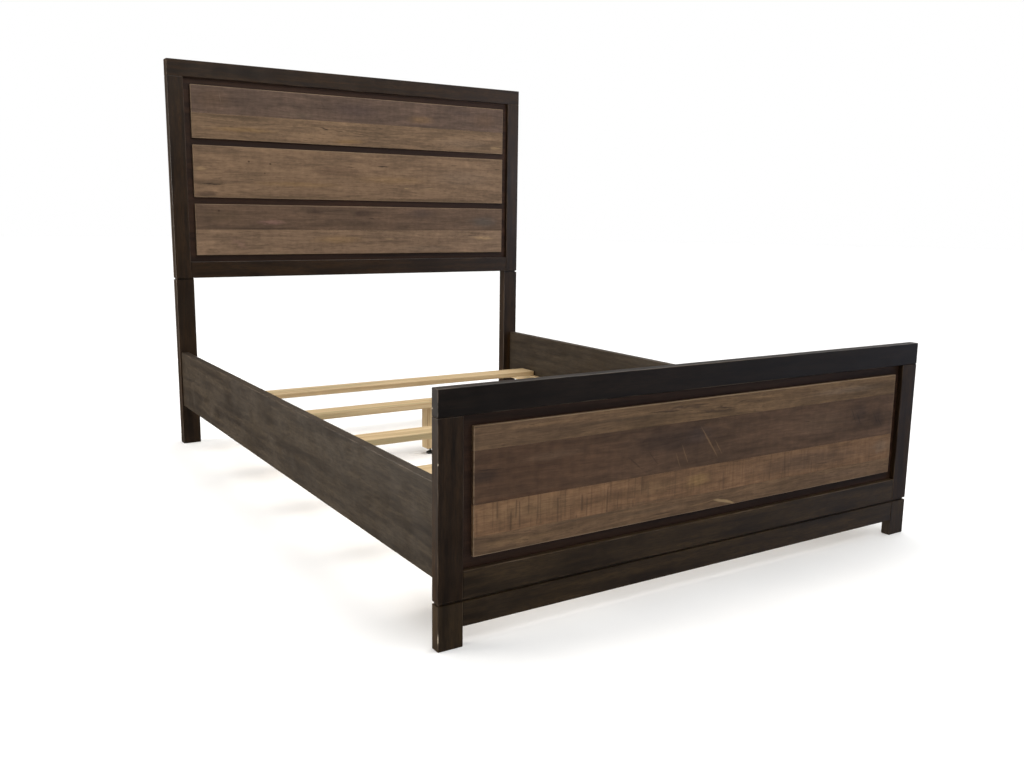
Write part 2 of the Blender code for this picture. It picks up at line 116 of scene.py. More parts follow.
def streaks(tree, place, axis, length, width, detail=3.0, seed=0.0, distortion=0.0, rough=0.55):
    """Noise drawn out along the grain into streaks of that length and width."""
    scale = [1 / width] * 3
    scale[axis] = 1 / length
    drawn = add(tree, "Mapping", {"Vector": place, "Location": (seed, seed, seed), "Scale": scale})
    return add(tree, "TexNoise", {"Vector": drawn, "Scale": 1.0, "Detail": detail, "Roughness": rough,
                                  "Distortion": distortion})


def coat(tree, under, over, value, start, end, most=1.0, within=1.0):
    """Lays a colour over another inside a mask: none of it at start of the value, the most from end on."""
    cover = add(tree, "MapRange", {"Value": value, "From Min": start, "From Max": end, "To Max": most},
                interpolation_type="SMOOTHSTEP")
    masked = add(tree, "Math", {0: cover, 1: within}, operation="MULTIPLY")
    return add(tree, "Mix", {"Factor": masked, "A": under, "B": over}, data_type="RGBA")


def rippled(tree, colour, value, amount):
    """Makes a colour darker and lighter, by that share, as a noise goes down and up."""
    shade = add(tree, "MapRange", {"Value": value, "From Min": 0.3, "From Max": 0.7,
                                   "To Min": 1 - amount, "To Max": 1 + amount})
    return add(tree, "VectorMath", {0: colour, "Scale": shade}, operation="SCALE")


def shaken(tree, place, value, along, up):
    """The place moved by a noise, as far as that along and up a board's face."""
    shift = add(tree, "VectorMath", {0: (2 * along, 0.0, 2 * up), "Scale": value}, operation="SCALE")
    moved = add(tree, "VectorMath", {0: place, 1: shift}, operation="ADD")
    return add(tree, "VectorMath", {0: moved, 1: (along, 0.0, up)}, operation="SUBTRACT")


def near_arris(tree, place, low, high, reach):
    """1 at a board's arrises, fading to 0 that far in from them."""
    middle, half = (low + high) / 2, (high - low) / 2
    aside = add(tree, "VectorMath", {0: place, 1: middle}, operation="SUBTRACT")
    aside = add(tree, "VectorMath", {0: aside}, operation="ABSOLUTE")
    depth = add(tree, "VectorMath", {0: half, 1: aside}, operation="SUBTRACT")
    depths = [add(tree, "SeparateXYZ", {"Vector": depth}, out=axis) for axis in "XYZ"]
    lesser = add(tree, "Math", {0: depths[0], 1: depths[1]}, operation="MINIMUM")
    greater = add(tree, "Math", {0: depths[0], 1: depths[1]}, operation="MAXIMUM")
    inner = add(tree, "Math", {0: greater, 1: depths[2]}, operation="MINIMUM")
    second = add(tree, "Math", {0: lesser, 1: inner}, operation="MAXIMUM")
    return add(tree, "MapRange", {"Value": second, "From Min": reach, "From Max": reach / 5},
               interpolation_type="SMOOTHSTEP")


def oval(tree, place, centre, radii, turn=0.0, softness=1.0):
    """1 inside an oval, fading to 0 at its rim. It is turned on the face of a board that looks along Y."""
    own = add(tree, "Mapping", {"Vector": place, "Location": centre, "Rotation": (0, math.radians(turn), 0),
                                "Scale": radii}, vector_type="TEXTURE")
    reach = add(tree, "VectorMath", {0: own}, operation="LENGTH")
    return add(tree, "MapRange", {"Value": reach, "From Min": 1.0, "From Max": 1.0 - softness},
               interpolation_type="SMOOTHSTEP")


# ---------------------------------------------------------------- finishes of the frame and the deck

# Espresso stain: near black, warm where the lamp rakes it. The maple under it is dense and even, so the eye
# gets fine dark pores, slow cloudy streaks and a satin film that is a little thin on the arrises.
# The pores are drawn coarser than maple's own, which would be too fine to see.
ESPRESSO = ("180E06", "35230F")
ESPRESSO_SHADED_TOP_RAIL = ("110B07", "21170F")        # painted shade: the footboard's top rail is made darker than the rest of the frame, for the dim light on its front
ESPRESSO_FLOOR_LIT = ("20160C", "3F2F19")             # painted light: paler, for the light the floor throws up on the footboard's lowest pieces
ESPRESSO_SIDE_RAIL = ("241C13", "403629")       # thinner and greyer
RUBBED_ARRIS = "6A5A4A"
BARE_CHIP = "C9BBA6"


def espresso_maple(name, low, high, axis, stain, chips=()):
    material, tree, place = new_finish("espresso maple, " + name)
    dark, light = (linear(tone) for tone in stain)
    cloud = streaks(tree, place, axis, 260 * MM, 20 * MM, detail=5.0, seed=low.x, distortion=0.4)
    pores = streaks(tree, place, axis, 26 * MM, 2.4 * MM, detail=5.0, seed=low.z, rough=0.65)
    fibre = streaks(tree, place, axis, 70 * MM, 4.5 * MM, detail=5.0, seed=low.y, rough=0.65)
    mottle = add(tree, "TexNoise", {"Vector": place, "Scale": 1 / (70 * MM), "Detail": 5.0})
    colour = coat(tree, dark, light, cloud, 0.25, 0.75)
    colour = coat(tree, colour, light, mottle, 0.45, 0.70, 0.30)
    colour = coat(tree, colour, dark, pores, 0.45, 0.60, 0.60)
    colour = rippled(tree, colour, fibre, 0.22)
    rub = streaks(tree, place, axis, 90 * MM, 14 * MM, detail=4.0, seed=3.1)
    arris = near_arris(tree, place, low, high, 2.4 * MM)
    colour = coat(tree, colour, linear(RUBBED_ARRIS), rub, 0.42, 0.66, 0.45, arris)
    ragged = streaks(tree, place, axis, 7 * MM, 3 * MM, detail=3.0, seed=8.0)
    for offset, radii in chips:
        centre = low + Vector(offset) * MM
        chip = oval(tree, place, centre, [radius * MM for radius in radii], softness=0.6)
        colour = coat(tree, colour, linear(BARE_CHIP), ragged, 0.34, 0.48, 1.0, chip)
    close_finish(tree, colour, mottle, 0.38, 0.48, pores, 0.06 * MM, Specular_IOR_Level=0.4)
    return material


# Backing: the same stain wiped thin on a rotary-cut ply, flat and dry, so it stays darker than the frame.
BACKING_DARK = "20120B"
BACKING_LIGHT = "3F2819"


def stained_backing(name, low, high):
    material, tree, place = new_finish("stained ply, " + name)
    figure = streaks(tree, place, X, 700 * MM, 22 * MM, detail=5.0, seed=low.z, distortion=0.3)
    fibre = streaks(tree, place, X, 40 * MM, 2.4 * MM, detail=5.0, seed=low.y)
    colour = coat(tree, linear(BACKING_DARK), linear(BACKING_LIGHT), figure, 0.20, 0.80)
    colour = coat(tree, colour, linear(BACKING_DARK), fibre, 0.45, 0.65, 0.4)
    arris = near_arris(tree, place, low, high, 1.5 * MM)
    colour = coat(tree, colour, linear(RUBBED_ARRIS), fibre, 0.45, 0.60, 0.3, arris)
    close_finish(tree, colour, figure, 0.62, 0.50, fibre, 0.08 * MM, Specular_IOR_Level=0.3)
    return material


# Deck timber: planed poplar with no finish, pale and dry, with a greenish heart streak here and there.
POPLAR_PALE = "C3AC86"
POPLAR_WARM = "A98F68"
POPLAR_HEART = "8D8763"
POPLAR_KNOT = "5E4530"


def bare_poplar(name, low, high, axis):
    material, tree, place = new_finish("bare poplar, " + name)
    seed = low.x * 7 + low.y * 5
    ring = streaks(tree, place, axis, 480 * MM, 12 * MM, detail=2.0, seed=seed, distortion=0.8)
    fibre = streaks(tree, place, axis, 60 * MM, 1.4 * MM, detail=5.0, seed=seed + 1)
    heart = streaks(tree, place, axis, 900 * MM, 45 * MM, detail=1.0, seed=seed + 2)
    knots = add(tree, "TexVoronoi", {"Vector": place, "Scale": 1 / (260 * MM)}, out="Distance")
    colour = coat(tree, linear(POPLAR_PALE), linear(POPLAR_WARM), ring, 0.35, 0.68)
    colour = coat(tree, colour, linear(POPLAR_HEART), heart, 0.56, 0.72, 0.5)
    colour = coat(tree, colour, linear(POPLAR_WARM), fibre, 0.48, 0.66, 0.35)
    colour = coat(tree, colour, linear(POPLAR_KNOT), knots, 0.040, 0.018, 0.8)
    arris = near_arris(tree, place, low, high, 1.6 * MM)
    colour = coat(tree, colour, linear(POPLAR_KNOT), ring, 0.25, 0.55, 0.35, arris)
    close_finish(tree, colour, fibre, 0.58, 0.74, fibre, 0.12 * MM, Specular_IOR_Level=0.4)
    return material


# Zinc-plated steel: grey with a faint blue and straw bloom, dull where it was handled.
def zinc_plate():
    material, tree, place = new_finish("zinc-plated steel")
    bloom = add(tree, "TexNoise", {"Vector": place, "Scale": 1 / (9 * MM), "Detail": 3.0})
    scuff = add(tree, "TexNoise", {"Vector": place, "Scale": 1 / (1.5 * MM), "Detail": 2.0})
    colour = coat(tree, linear("8C939B"), linear("A39D8E"), bloom, 0.35, 0.65)
    colour = coat(tree, colour, linear("6E7174"), scuff, 0.50, 0.70, 0.4)
    close_finish(tree, colour, scuff, 0.28, 0.50, scuff, 0.02 * MM, Metallic=1.0)
    return material


# Moulded nylon: black with a fine spark-eroded grain, greyed by floor dust.
def black_nylon():
    material, tree, place = new_finish("moulded black nylon")
    skin = add(tree, "TexNoise", {"Vector": place, "Scale": 1 / (1.2 * MM), "Detail": 2.0})
    dust = add(tree, "TexNoise", {"Vector": place, "Scale": 1 / (14 * MM), "Detail": 4.0})
    colour = coat(tree, linear("171718"), linear("3A3936"), dust, 0.45, 0.75, 0.5)
    close_finish(tree, colour, dust, 0.42, 0.62, skin, 0.05 * MM, IOR=1.53)
    return material


# ---------------------------------------------------------------- rustic boards of the panels

# What colours the marks in the boards: stains of the timber itself, and the bare wood a scratch shows.
CRACK = "2A1F17"
PIN_KNOT = "2B1D14"
MINERAL = "362820"                      # mineral streak, near black
PLUM = "40332F"                         # mineral streak with purple in it
SLATE = "48443F"                        # blue-grey mineral stain
UMBER = "50402F"
RUSSET = "4C3321"
WALNUT = "5A4534"
GREY_TAN = "6C5B4B"
TAN = "745A3E"
GOLDEN = "80643E"
ROSE = "84655A"
PALE = "937B58"

# Each board: the tone of its maple, how strongly it is streaked along the grain and curled across it, then
# its own marks. They are placed by their share of the board's length from the left and of its height from
# the bottom, and sized in millimetres.
# A smudge is (along, up, half length, half height, colour, strength, turn in degrees).
# A line is (along, up, length, width, turn, colour, strength): a crack, a fleck or a scratch.
# A saw zone is (start, end, strength), in shares of the length.
BOARDS = {
    "headboard_top_plank_upper": {
        "dark": True, "tone": "56453A", "streaky": 0.16, "curl": 0.10,
        "smudges": (
            (0.48, 0.50, 170, 50, PLUM, 0.7, 0), (0.84, 0.68, 100, 18, PLUM, 0.5, 2),
            (0.70, 0.30, 95, 26, TAN, 0.6, 0), (0.06, 0.50, 110, 70, WALNUT, 0.5, 0),
            (0.93, 0.45, 90, 50, WALNUT, 0.5, 0), (0.30, 0.15, 130, 16, GREY_TAN, 0.4, 0),
        ),
        "lines": ((0.08, 0.62, 50, 5, 84, GREY_TAN, 0.5), (0.38, 0.60, 40, 4, 60, MINERAL, 0.5)),
        "saw": (),
    },
    "headboard_top_plank_lower": {
        "dark": False, "tone": "6C5742", "streaky": 0.20, "curl": 0.04,
        "smudges": (
            (0.12, 0.90, 190, 9, UMBER, 0.6, 0), (0.14, 0.42, 190, 16, GOLDEN, 0.5, 0),
            (0.46, 0.18, 110, 13, GOLDEN, 0.6, -2), (0.49, 0.62, 160, 7, UMBER, 0.6, 5),
            (0.36, 0.80, 110, 5, UMBER, 0.5, 2), (0.85, 0.40, 220, 30, GREY_TAN, 0.4, 0),
            (0.97, 0.25, 40, 12, PALE, 0.4, 0),
        ),
        "lines": ((0.385, 0.66, 42, 4, 12, CRACK, 1.0), (0.43, 0.60, 60, 3, 4, CRACK, 0.8),
                  (0.50, 0.52, 120, 4, 6, CRACK, 0.6), (0.56, 0.60, 70, 3, 8, CRACK, 0.5)),
        "saw": (),
    },
    "headboard_middle_plank": {
        "dark": False, "tone": "705A45", "streaky": 0.14, "curl": 0.05,
        "smudges": (
            (0.03, 0.06, 80, 20, MINERAL, 0.7, 0), (0.72, 0.03, 560, 13, UMBER, 0.8, 0),
            (0.28, 0.04, 420, 12, UMBER, 0.6, 0), (0.05, 0.27, 90, 8, UMBER, 0.7, 1),
            (0.30, 0.30, 260, 16, GOLDEN, 0.4, 0), (0.42, 0.60, 170, 40, WALNUT, 0.4, 0),
            (0.60, 0.45, 240, 26, GOLDEN, 0.3, 0), (0.85, 0.55, 220, 60, GREY_TAN, 0.4, 0),
            (0.02, 0.55, 30, 12, PALE, 0.4, 0), (0.155, 0.72, 7, 6, PIN_KNOT, 0.9, 0),
            (0.217, 0.69, 7, 6, PIN_KNOT, 0.9, 0), (0.20, 0.50, 5, 5, PIN_KNOT, 0.7, 0),
        ),
        "lines": ((0.05, 0.26, 110, 5, 1, CRACK, 1.0), (0.46, 0.69, 64, 3, 1, CRACK, 0.9),
                  (0.57, 0.73, 62, 4, 2, CRACK, 1.0), (0.82, 0.82, 46, 3, 0, CRACK, 0.8),
                  (0.91, 0.84, 34, 3, 0, CRACK, 0.8), (0.98, 0.77, 36, 4, 0, CRACK, 0.8),
                  (0.65, 0.28, 30, 6, 4, PALE, 0.6), (0.73, 0.29, 44, 5, -2, PALE, 0.5)),
        "saw": (),
    },
    "headboard_bottom_plank_upper": {
        "dark": True, "tone": "5A4738", "streaky": 0.12, "curl": 0.06,
        "smudges": (
            (0.35, 0.76, 60, 17, MINERAL, 0.6, 0), (0.50, 0.70, 66, 26, MINERAL, 0.6, 0),
            (0.70, 0.72, 90, 34, PLUM, 0.5, 0), (0.93, 0.40, 110, 36, SLATE, 0.6, 0),
            (0.215, 0.30, 84, 15, ROSE, 0.6, 0), (0.07, 0.55, 130, 40, UMBER, 0.5, 0),
            (0.065, 0.74, 9, 7, PIN_KNOT, 0.7, 0),
        ),
        "lines": ((0.53, 0.50, 36, 4, 8, CRACK, 0.8), (0.20, 0.05, 420, 3, 0, CRACK, 0.6)),
        "saw": (),
    },
    "headboard_bottom_plank_lower": {
        "dark": False, "tone": "705B48", "streaky": 0.16, "curl": 0.05,
        "smudges": (
            (0.42, 0.60, 170, 26, GOLDEN, 0.4, 0), (0.90, 0.86, 120, 8, UMBER, 0.6, 1),
            (0.93, 0.66, 90, 9, PALE, 0.6, 2), (0.12, 0.45, 60, 16, ROSE, 0.3, 30),
            (0.70, 0.20, 240, 18, GREY_TAN, 0.4, 0), (0.04, 0.12, 60, 12, UMBER, 0.5, 0),
        ),
        "lines": ((0.59, 0.62, 60, 4, 2, PALE, 0.6), (0.88, 0.78, 120, 4, 1, CRACK, 0.7)),
        "saw": (),
    },
    "footboard_board_1": {
        "dark": False, "tone": "604A33", "streaky": 0.22, "curl": 0.04,
        "smudges": (
            (0.08, 0.50, 520, 60, WALNUT, 0.5, 0), (0.42, 0.66, 120, 5, MINERAL, 0.6, 1),
            (0.50, 0.34, 90, 6, MINERAL, 0.6, 4), (0.30, 0.50, 260, 5, UMBER, 0.5, 0),
            (0.63, 0.70, 120, 6, TAN, 0.6, 0), (0.12, 0.74, 150, 7, TAN, 0.5, 0),
            (0.85, 0.50, 200, 16, GREY_TAN, 0.5, 0),
        ),
        "lines": ((0.38, 0.60, 130, 4, 3, CRACK, 0.7), (0.46, 0.72, 70, 3, 2, CRACK, 0.7),
                  (0.52, 0.44, 80, 4, 7, CRACK, 0.7), (0.56, 0.62, 46, 3, -8, CRACK, 0.6)),
        "saw": (),
    },
    "footboard_board_2": {
        "dark": True, "tone": "503B2B", "streaky": 0.12, "curl": 0.08,
        "smudges": (
            (0.06, 0.50, 560, 120, RUSSET, 0.5, 0), (0.40, 0.66, 200, 52, MINERAL, 0.7, 0),
            (0.46, 0.70, 60, 30, PLUM, 0.5, 0), (0.015, 0.50, 70, 24, MINERAL, 0.7, 0),
            (0.15, 0.72, 130, 17, WALNUT, 0.6, 0), (0.09, 0.04, 240, 7, RUSSET, 0.7, 0),
            (0.78, 0.55, 160, 50, WALNUT, 0.6, 0), (0.895, 0.60, 52, 52, MINERAL, 0.6, 0),
            (0.955, 0.45, 38, 40, MINERAL, 0.5, 0),
        ),
        "lines": ((0.485, 0.50, 128, 6, 54, TAN, 0.6), (0.508, 0.36, 60, 4, 56, TAN, 0.5),
                  (0.428, 0.32, 70, 4, 66, TAN, 0.5), (0.412, 0.22, 56, 4, 68, TAN, 0.4),
                  (0.355, 0.35, 60, 4, 48, CRACK, 0.5), (0.315, 0.30, 70, 4, 40, CRACK, 0.5),
                  (0.875, 0.62, 60, 5, 62, CRACK, 0.5), (0.892, 0.50, 60, 5, 60, CRACK, 0.5),
                  (0.945, 0.45, 64, 4, 56, CRACK, 0.6), (0.958, 0.36, 56, 4, 55, CRACK, 0.5),
                  (0.74, 0.62, 26, 4, 2, CRACK, 0.6), (0.03, 0.62, 90, 4, 3, CRACK, 0.6)),
        "saw": ((0.30, 0.62, 0.20),),
    },
    "footboard_board_3": {
        "dark": False, "tone": "6C5037", "streaky": 0.08, "curl": 0.14,
        "smudges": (
            (0.10, 0.60, 210, 40, TAN, 0.6, 0), (0.46, 0.52, 60, 26, GOLDEN, 0.7, 0),
            (0.36, 0.55, 110, 26, TAN, 0.5, 0), (0.75, 0.50, 330, 44, WALNUT, 0.7, 0),
            (0.34, 0.06, 190, 7, UMBER, 0.5, 0), (0.97, 0.55, 60, 30, GREY_TAN, 0.5, 0),
        ),
        "lines": ((0.79, 0.30, 60, 3, 3, CRACK, 0.7), (0.74, 0.55, 40, 3, 0, CRACK, 0.5)),
        "saw": ((-0.1, 0.34, 1.0), (0.30, 0.56, 0.55), (0.52, 0.78, 0.8), (0.76, 1.1, 0.45)),
    },
    "footboard_board_4": {
        "dark": False, "tone": "624B35", "streaky": 0.18, "curl": 0.05,
        "smudges": (
            (0.08, 0.45, 170, 14, TAN, 0.6, 0), (0.84, 0.50, 260, 20, WALNUT, 0.5, 0),
            (0.22, 0.90, 130, 5, UMBER, 0.8, 0), (0.34, 0.60, 180, 8, UMBER, 0.4, 0),
        ),
        "lines": ((0.475, 0.42, 110, 5, -3, TAN, 0.7), (0.525, 0.33, 84, 9, 12, PALE, 0.8),
                  (0.545, 0.14, 50, 7, 20, PALE, 0.8), (0.38, 0.30, 70, 3, 0, CRACK, 0.5)),
        "saw": ((-0.1, 0.3, 0.2),),
    },
}

# How each plank is glued up, top board first.
PLANKS = (
    ("headboard_top_plank_upper", "headboard_top_plank_lower"),
    ("headboard_middle_plank",),
    ("headboard_bottom_plank_upper", "headboard_bottom_plank_lower"),
    tuple(f"footboard_board_{n}" for n in range(1, 5)),
)
PLANK_ARRIS = "8E7960"
SAW_MARK_DARK = "3F2D21"                     # darker down in the saw marks, most where a cut is deepest


def board_point(low, high, along, up):
    """A place on a board's face, by its share of the board's length and height."""
    return (low.x + along * (high.x - low.x), low.y, low.z + up * (high.z - low.z))


# Rustic maple: flat-sawn boards, oiled and toned, with mineral streaks. The eye gets long wavering streaks,
# thin dark fibre flecks, a faint upright curl, cloudy stain, saw marks darker where they cut deepest and a
# pale worn arris.
# The fibres are drawn coarser than maple's own, which would be too fine to see.
def rustic_maple(name, low, high, plank_low, plank_high, seed, spec):
    material, tree, place = new_finish("rustic maple, " + name)
    drift = streaks(tree, place, X, 340 * MM, 60 * MM, detail=1.0, seed=seed)
    bent = shaken(tree, place, drift, 0.0, 14 * MM)
    clouds = streaks(tree, bent, X, 180 * MM, 26 * MM, detail=6.0, seed=seed + 2, rough=0.62)
    colour = rippled(tree, linear(spec["tone"])[:3], clouds, 0.32)

    rag = streaks(tree, place, X, 22 * MM, 9 * MM, detail=4.0, seed=seed + 4, rough=0.6)
    ragged = shaken(tree, place, rag, 30 * MM, 7 * MM)
    for along, up, half_length, half_height, tint, strength, turn in spec["smudges"]:
        patch = oval(tree, place if tint == PIN_KNOT else ragged, board_point(low, high, along, up),
                     (half_length * MM, PANEL_REACH, half_height * MM), turn)
        colour = coat(tree, colour, linear(tint), patch, 0.0, 1.0, strength)

    rings = streaks(tree, bent, X, 380 * MM, 9 * MM, detail=6.0, seed=seed + 1, distortion=0.4, rough=0.6)
    bands = streaks(tree, bent, X, 90 * MM, 4.0 * MM, detail=5.0, seed=seed + 3, rough=0.6)
    mottle = streaks(tree, place, X, 26 * MM, 12 * MM, detail=5.0, seed=seed + 9, rough=0.65)
    fibres = streaks(tree, bent, X, 40 * MM, 1.6 * MM, detail=4.0, seed=seed + 7)
    curl = streaks(tree, place, Z, 80 * MM, 13 * MM, detail=3.0, seed=seed + 8)
    streaky, curly = spec["streaky"], spec["curl"]
    for value, amount in ((rings, streaky), (bands, 0.6 * streaky + 0.06), (mottle, 0.18), (fibres, 0.13),
                          (curl, curly)):
        colour = rippled(tree, colour, value, amount)

    flecks = streaks(tree, bent, X, 24 * MM, 1.6 * MM, detail=2.0, seed=seed + 5)
    colour = coat(tree, colour, linear(CRACK), flecks, 0.62, 0.70, min(1.0, 5 * streaky), drift)
    height = fibres
    crooked = shaken(tree, place, rag, 0.0, 3 * MM)
    for along, up, length, width, turn, tint, strength in spec["lines"]:
        line = oval(tree, crooked, board_point(low, high, along, up),
                    (length / 2 * MM, PANEL_REACH, width / 2 * MM), turn, 0.6)
        colour = coat(tree, colour, linear(tint), line, 0.0, 1.0, strength)
        height = add(tree, "Math", {0: height, 1: line}, operation="SUBTRACT")

    sawn = add(tree, "Attribute", out="Fac", attribute_name="saw")
    # the face is darkened in the saw marks, as much as each cut is deep
    colour = coat(tree, colour, linear(SAW_MARK_DARK), sawn, 0.0, 1.0, 0.6)
    arris = near_arris(tree, place, plank_low, plank_high, 3.0 * MM)
    colour = coat(tree, colour, linear(PLANK_ARRIS), rings, 0.25, 0.60, 0.7, arris)
    close_finish(tree, colour, clouds, 0.62, 0.48, height, 0.12 * MM, Specular_IOR_Level=0.3)
    return material


SAW_STEP = 1.6 * MM                     # between the cross cuts of a saw-marked board's mesh
PLAIN_STEP = 6.0 * MM
ROW_STEP = 6.0 * MM
SAW_DEPTH = 0.35 * MM
SAW_PITCH = (3 * MM, 19 * MM)
SAW_FOOT = (-0.6, 0.45)                 # where a cut starts, in heights of the board
SAW_RUN = (0.55, 1.5)                   # how far up it goes, in the same
SAW_HALF_WIDTH = (1.8 * MM, 3.4 * MM)
SAW_BITE = (0.15, 0.85)                 # its share of the full depth
SAW_LEAN = (-0.04, 0.04)
PLANE_WAVE = 0.25 * MM                  # how far the planed face dips
ARRIS = 1.6 * MM
SEAM = 0.25 * MM
SAW_CUT_REACH = 5 * MM                  # how far to either side of a cut the mesh is looked at
SAW_CUT_FADE = 6 * MM                   # at a cut's ends
RIM_FADE = 4 * MM                       # the face is plain next to its arris, and waves this far in
WAVE_LENGTH = 90 * MM
WAVE_HEIGHT = 30 * MM
ON_FACE = 0.01 * MM                     # an edge this near a side of the plank lies on it
FRONT_SKIN = 0.02 * MM                  # a vertex this near the front belongs to the board's face
WHOLE_RUN = 0.9                         # an edge this share of the board's length runs right along it
FIRST_SEED = 11.0                       # of the top board's noise
SEED_STEP = 7.0                         # from each board to the next


def saw_cuts(shape, layer, low, size, seed, zones):
    """Writes band-saw marks into the face's layer: upright cuts, each with its own reach and depth."""
    chance = random.Random(seed)
    columns = {}
    for vert in shape.verts:
        if vert.co.y < low.y + FRONT_SKIN:
            columns.setdefault(round((vert.co.x - low.x) / SAW_STEP), []).append(vert)
    for start, end, level in zones:
        x = max(start, 0.0) * size.x
        while x < min(end, 1.0) * size.x:
            x += chance.uniform(*SAW_PITCH)
            bottom = chance.uniform(*SAW_FOOT) * size.z
            top = bottom + chance.uniform(*SAW_RUN) * size.z
            half_width = chance.uniform(*SAW_HALF_WIDTH)
            depth = level * chance.uniform(*SAW_BITE)
            lean = chance.uniform(*SAW_LEAN)
            first, last = (round((x + reach) / SAW_STEP) for reach in (-SAW_CUT_REACH, SAW_CUT_REACH))
            for column in range(first, last + 1):
                for vert in columns.get(column, ()):
                    z = vert.co.z - low.z
                    aside = abs(vert.co.x - low.x - x - lean * z) / half_width
                    inside = min(max(min(z - bottom, top - z) / SAW_CUT_FADE, 0.0), 1.0)
                    vert[layer] = max(vert[layer], depth * inside * max(0.0, 1 - aside * aside))


def rustic_board(node, plank_low, plank_high, seed, spec):
    """A board with eased outer arrises, a tight glue seam, and a planed or sawn face."""
    low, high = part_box(node)
    size = high - low
    shape = bmesh.new()
    bmesh.ops.create_cube(shape, size=1.0)
    bmesh.ops.scale(shape, vec=size, verts=shape.verts)
    bmesh.ops.translate(shape, vec=(low + high) / 2, verts=shape.verts)

    def on_plank_edge(edge):
        middle = (edge.verts[0].co + edge.verts[1].co) / 2
        return any(abs(middle[axis] - face[axis]) < ON_FACE
                   for face in (plank_low, plank_high) for axis in (X, Z))

    outer = [edge for edge in shape.edges if on_plank_edge(edge)]
    inner = [edge for edge in shape.edges if not on_plank_edge(edge)]
    bmesh.ops.bevel(shape, geom=outer, offset=ARRIS, offset_type="OFFSET", affect="EDGES", segments=3,
                    profile=0.5, material=-1)
    seams = [edge for edge in inner if edge.is_valid]
    if seams:
        bmesh.ops.bevel(shape, geom=seams, offset=SEAM, offset_type="OFFSET", affect="EDGES", segments=1,
                        profile=0.5, material=-1)
    for axis, step in ((X, SAW_STEP if spec["saw"] else PLAIN_STEP), (Z, ROW_STEP)):
        runs = [edge for edge in shape.edges
                if abs((edge.verts[0].co - edge.verts[1].co)[axis]) > size[axis] * WHOLE_RUN]
        cuts = max(1, round(size[axis] / step))
        bmesh.ops.subdivide_edges(shape, edges=runs, cuts=cuts, use_grid_fill=True)

    saw = shape.verts.layers.float.new("saw")
    saw_cuts(shape, saw, low, size, seed, spec["saw"])
    for vert in shape.verts:
        if vert.co.y > low.y + FRONT_SKIN:
            continue
        x, z = vert.co.x, vert.co.z
        rim = min(x - low.x, high.x - x, z - plank_low.z, plank_high.z - z)
        fade = min(max((rim - ARRIS) / RIM_FADE, 0.0), 1.0)
        wave = 0.5 + 0.5 * noise.noise((x / WAVE_LENGTH, z / WAVE_HEIGHT, seed + 2))
        vert[saw] *= fade
        vert.co.y += vert[saw] * SAW_DEPTH + fade * wave * PLANE_WAVE

    mesh = bpy.data.meshes.new("sawn_" + node)
    shape.to_mesh(mesh)
    shape.free()
    mesh.shade_smooth()
    mesh.set_sharp_from_angle(angle=math.radians(38))
    piece = put("sawn_" + node, mesh, "bed")
    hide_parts(node)
    mesh.materials.append(rustic_maple(node, low, high, plank_low, plank_high, seed, spec))


# ---------------------------------------------------------------- pieces

def put(name, mesh, body):
    piece = bpy.data.objects.new(name, mesh)
    bpy.context.scene.collection.objects.link(piece)
    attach(piece, body)
    return piece


def finish_node(node, material):
    mesh = frame["nodes"][node].data
    mesh.materials.clear()
    mesh.materials.append(material)


def panel_boards():
    for plank in PLANKS:
        corners = [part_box(node) for node in plank]
        plank_low = Vector([min(low[axis] for low, _ in corners) for axis in (X, Y, Z)])
        plank_high = Vector([max(high[axis] for _, high in corners) for axis in (X, Y, Z)])
        for node in plank:
            seed = FIRST_SEED + SEED_STEP * list(BOARDS).index(node)
            rustic_board(node, plank_low, plank_high, seed, BOARDS[node])


# Knocks that went through the stain, all on the left front corner. Each has its distance from the left,
# front and bottom of its piece, then its three radii, in millimetres.
CHIPS = {
    "footboard_top_rail": (((0, 23, 16), (2.0, 2.2, 2.4)),),
    "footboard_stile_left": (((0, 1, 285.7), (2.4, 2.2, 3.4)),),
    "footboard_foot_left": (((0, 0, 28), (1.8, 1.8, 16.0)),),
}
LOW_PIECES_TOP = 0.17                   # the footboard's pieces that end below this get the paler stain, painted light from the floor


def frame_finishes():
    for node in frame["nodes"]:
        low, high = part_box(node)
        owner = node.partition("_")[0]
        if node in BOARDS or node.startswith("leveler"):
            continue
        if node.endswith("_backing"):
            finish_node(node, stained_backing(node, low, high))
        elif owner in ("footboard", "headboard") and "dowel" not in node:
            axis = Z if any(word in node for word in ("_stile_", "_leg_", "_foot_")) else X
            # painted light: the footboard's lowest pieces get a paler stain
            floor_lit = owner == "footboard" and high.z < LOW_PIECES_TOP
            stain = ESPRESSO_FLOOR_LIT if floor_lit else ESPRESSO
            # painted shade: the footboard's top rail gets the darkened stain
            if node == "footboard_top_rail":
                stain = ESPRESSO_SHADED_TOP_RAIL
            finish_node(node, espresso_maple(node, low, high, axis, stain, CHIPS.get(node, ())))
        elif owner == "side":
            finish_node(node, espresso_maple(node, low, high, Y, ESPRESSO_SIDE_RAIL))
        elif "slat" in node or "dowel" in node or node.startswith("support_leg"):
            axis = Z if "leg" in node or "dowel" in node else Y if "cleat" in node else X
            finish_node(node, bare_poplar(node, low, high, axis))
        else:
            finish_node(node, zinc)


# ---------------------------------------------------------------- screws and levelers

HEAD_RADIUS = 4.2 * MM
HEAD_PROUD = 0.2 * MM
HEAD_DEPTH = 2.4 * MM
ROD_RADIUS = 2.0 * MM
CROSS_REACH = 2.3 * MM
CROSS_HALF = 0.55 * MM
CROSS_DEPTH = 1.3 * MM
HEAD_SIDES = 24
CROSS_NARROWING = 0.6                   # the recess at its bottom, as a share of its mouth
HEAD_RIM = 0.92                         # the flat of the head, as a share of its radius
SCREW_TURN = 2.4                        # radians that each screw of a row is turned from the one before
CLEAT_SCREWS = 8
CLEAT_END = 60 * MM                     # from a cleat's end to its last screw
BACK_SCREWS = (-0.9, -0.3, 0.3, 0.9)    # of a board, in shares of half its length


